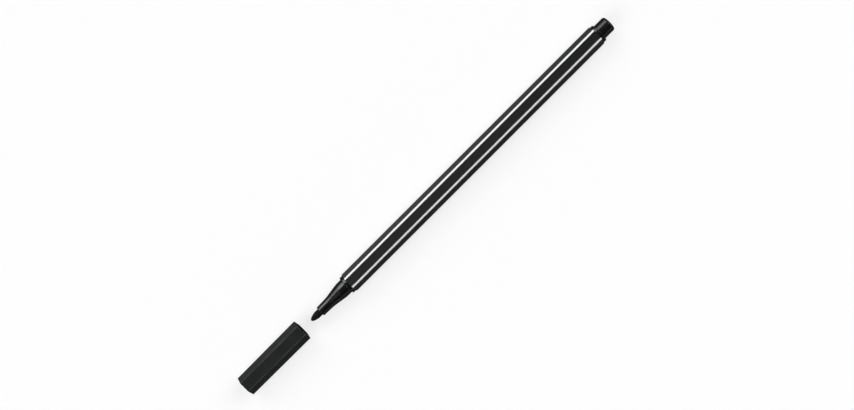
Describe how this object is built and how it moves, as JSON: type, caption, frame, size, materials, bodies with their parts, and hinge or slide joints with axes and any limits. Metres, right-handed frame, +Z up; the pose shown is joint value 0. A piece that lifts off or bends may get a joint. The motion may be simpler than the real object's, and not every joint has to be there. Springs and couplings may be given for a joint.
{
  "type": "felt-tip pen",
  "caption": "Slim felt-tip pen with a hexagonal barrel striped along its edges, a tapered nose with a fibre nib, a round end plug and a pull-off hexagonal cap lying in line.",
  "frame": {"origin": "middle of the length of pen and cap together, under the pen's axis, on the surface that they lie on", "axes": "+X along the pen's axis from the cap to the end plug, +Y to the left seen from the cap's side, +Z up"},
  "size_m": [0.1896, 0.0086, 0.0076],
  "materials": {
    "barrel_plastic": "satin extruded polypropylene, black",
    "stripe_plastic": "satin extruded polypropylene, white",
    "fitting_plastic": "glossy moulded polypropylene, black",
    "nib_felt": "pressed polyester fibre soaked with black ink",
    "reservoir_fibre": "bundled polyester fibre soaked with black ink",
    "film": "clear polypropylene film",
    "cap_plastic": "satin moulded polypropylene, black",
    "seal_plastic": "soft moulded polyethylene, black"
  },
  "bodies": {
    "pen": {"barrel": "barrel_plastic", "edge_stripe_1": "stripe_plastic", "edge_stripe_2": "stripe_plastic", "edge_stripe_3": "stripe_plastic", "edge_stripe_4": "stripe_plastic", "edge_stripe_5": "stripe_plastic", "edge_stripe_6": "stripe_plastic", "nose_section": "fitting_plastic", "nib": "nib_felt", "reservoir_core": "reservoir_fibre", "reservoir_film": "film", "end_plug": "fitting_plastic"},
    "cap": {"cap_shell": "cap_plastic", "cap_seal": "seal_plastic"}
  },
  "joints": [
    {"name": "cap_slide", "type": "slide", "parent": "pen", "child": "cap", "axis": [1, 0, 0], "range_m": [0, 0.023]}
  ]
}
